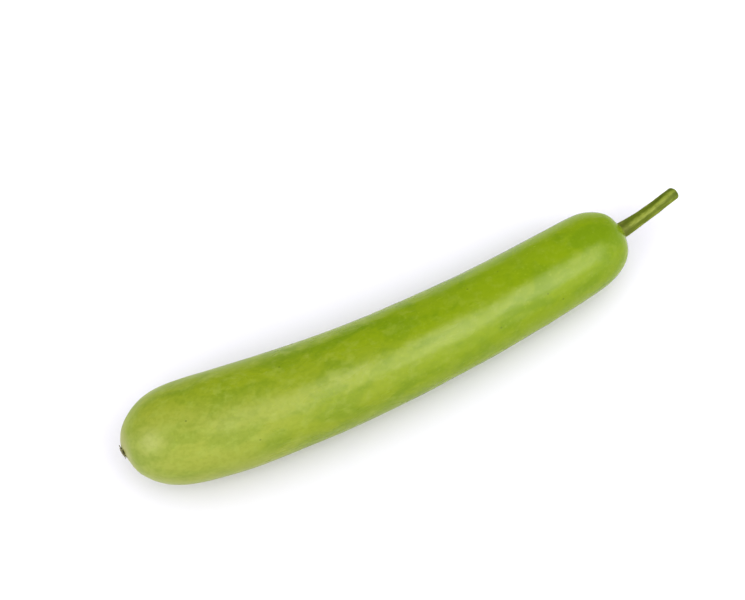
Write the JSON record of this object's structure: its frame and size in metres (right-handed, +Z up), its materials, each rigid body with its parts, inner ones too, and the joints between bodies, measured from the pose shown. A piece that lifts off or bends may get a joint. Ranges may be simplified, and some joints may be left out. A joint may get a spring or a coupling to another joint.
{
  "type": "bottle gourd",
  "caption": "Long, slightly bowed green bottle gourd lying on its side, with its cut stem at one end and the dried flower remnant at the other.",
  "frame": {"origin": "middle of the underside of the whole gourd's box, on the surface that the gourd lies on", "axes": "+X from the blossom end to the stem end, +Z up, and the fruit bows towards -Y"},
  "size_m": [0.4158, 0.0744, 0.0682],
  "materials": {
    "skin": "satin waxy skin",
    "stem": "fresh, ridged, slightly rough",
    "remnant": "dry and matt"
  },
  "bodies": {
    "root": {"fruit": "skin", "stem": "stem", "blossom_remnant": "remnant"}
  },
  "joints": []
}
